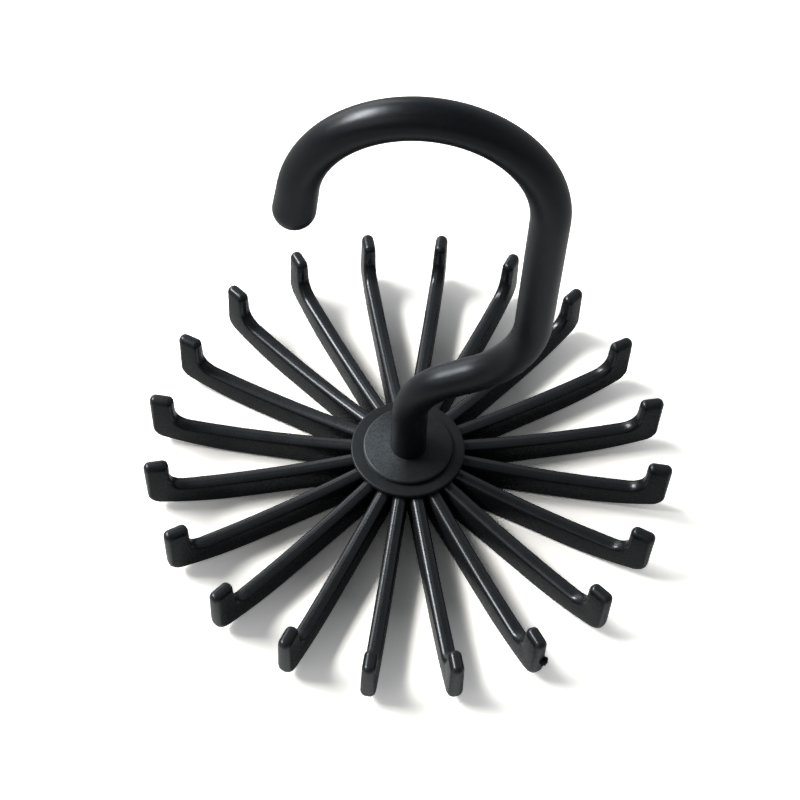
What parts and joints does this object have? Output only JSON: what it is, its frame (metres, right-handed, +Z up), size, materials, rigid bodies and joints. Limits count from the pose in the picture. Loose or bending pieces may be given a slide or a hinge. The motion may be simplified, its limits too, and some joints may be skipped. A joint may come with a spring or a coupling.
{
  "type": "rotating tie rack",
  "caption": "Round rotating tie rack: upturned arms radiate from a hub that swivels on a one-piece swan-neck hook.",
  "frame": {"origin": "on the swivel axis, in the plane of the arms' flat undersides that the rack stands on", "axes": "+Z up along the swivel axis; +X along the first arm, and nearly along the hook's neck, whose plane is turned 2.65 degrees about +Z; the hook's mouth opens toward -X"},
  "size_m": [0.135, 0.135, 0.1349],
  "materials": {
    "arm_black": "moulded black plastic, polished crests and tips",
    "hub_black": "fine-grained moulded black plastic",
    "hook_charcoal": "satin moulded charcoal plastic",
    "zinc_plate": "bright zinc plate"
  },
  "bodies": {
    "rack": {"hub": "hub_black", "hub_cap": "hub_black", "arm_01": "arm_black", "arm_02": "arm_black", "arm_03": "arm_black", "arm_04": "arm_black", "arm_05": "arm_black", "arm_06": "arm_black", "arm_07": "arm_black", "arm_08": "arm_black", "arm_09": "arm_black", "arm_10": "arm_black", "arm_11": "arm_black", "arm_12": "arm_black", "arm_13": "arm_black", "arm_14": "arm_black", "arm_15": "arm_black", "arm_16": "arm_black", "arm_17": "arm_black", "arm_18": "arm_black", "arm_19": "arm_black", "arm_20": "arm_black"},
    "hook": {"hook": "hook_charcoal", "retaining_washer": "zinc_plate", "retaining_screw": "zinc_plate"}
  },
  "joints": [
    {"name": "swivel", "type": "hinge", "parent": "rack", "child": "hook", "pos_m": [0, 0, 0], "axis": [0, 0, 1], "continuous": true}
  ]
}
